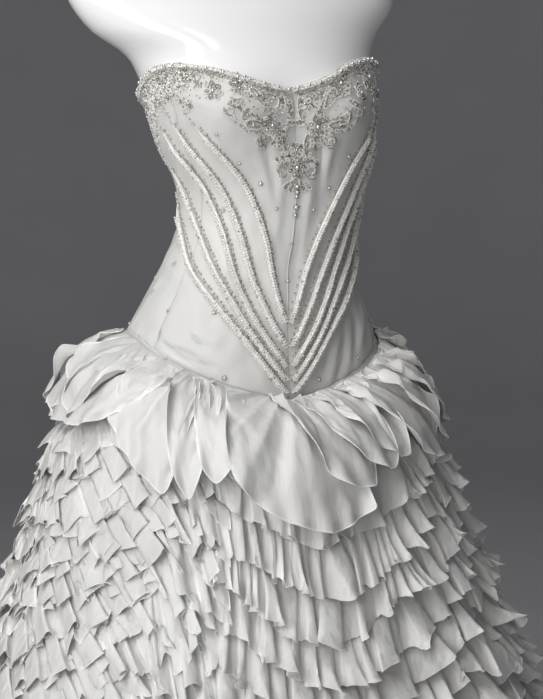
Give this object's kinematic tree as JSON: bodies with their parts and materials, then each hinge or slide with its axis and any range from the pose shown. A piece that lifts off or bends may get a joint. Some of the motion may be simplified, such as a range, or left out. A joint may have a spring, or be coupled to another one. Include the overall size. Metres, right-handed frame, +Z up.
{
  "type": "ball gown on a limbless dress form",
  "caption": "Strapless sweetheart ball gown with V corded bodice, beaded bust and a full skirt of ruffle tiers, on a smooth limbless dress form.",
  "frame": {"origin": "centre of the base's underside, on the floor", "axes": "+Z up along the pole, -Y the way the gown's front faces, +X towards the wearer's left"},
  "size_m": [1.1179, 1.1131, 1.5363],
  "materials": {
    "satin": "ivory satin with a soft sheen",
    "taffeta": "crisp ivory taffeta",
    "underskirt": "matt ivory lining cloth",
    "beadwork": "silver bugle beads and clear stones on satin",
    "form": "glossy white",
    "steel": "polished"
  },
  "bodies": {
    "root": {"back_placket": "satin", "bodice_back_left": "satin", "bodice_back_right": "satin", "bodice_front_left": "satin", "bodice_front_right": "satin", "bodice_side_left": "satin", "bodice_side_right": "satin", "bust_applique_left": "beadwork", "bust_applique_right": "beadwork", "form_base": "form", "form_neck_cap": "form", "form_pole": "steel", "form_torso": "form", "neck_trim": "beadwork", "pendant_applique": "beadwork", "petal_01": "taffeta", "petal_02": "taffeta", "petal_03": "taffeta", "petal_04": "taffeta", "petal_05": "taffeta", "petal_06": "taffeta", "petal_07": "taffeta", "petal_08": "taffeta", "petal_09": "taffeta", "petal_10": "taffeta", "petal_11": "taffeta", "petal_12": "taffeta", "ruffle_tier_01": "taffeta", "ruffle_tier_02": "taffeta", "ruffle_tier_03": "taffeta", "ruffle_tier_04": "taffeta", "ruffle_tier_05": "taffeta", "ruffle_tier_06": "taffeta", "ruffle_tier_07": "taffeta", "ruffle_tier_08": "taffeta", "ruffle_tier_09": "taffeta", "ruffle_tier_10": "taffeta", "ruffle_tier_11": "taffeta", "ruffle_tier_12": "taffeta", "ruffle_tier_13": "taffeta", "ruffle_tier_14": "taffeta", "ruffle_tier_15": "taffeta", "ruffle_tier_16": "taffeta", "ruffle_tier_17": "taffeta", "ruffle_tier_18": "taffeta", "underskirt_back": "underskirt", "underskirt_front": "underskirt", "underskirt_side_left": "underskirt", "underskirt_side_right": "underskirt", "v_cord_1_left": "beadwork", "v_cord_1_right": "beadwork", "v_cord_2_left": "beadwork", "v_cord_2_right": "beadwork", "v_cord_3_left": "beadwork", "v_cord_3_right": "beadwork", "v_cord_4_left": "beadwork", "v_cord_4_right": "beadwork", "v_cord_5_left": "beadwork", "v_cord_5_right": "beadwork", "zip_pull": "steel"}
  },
  "joints": []
}
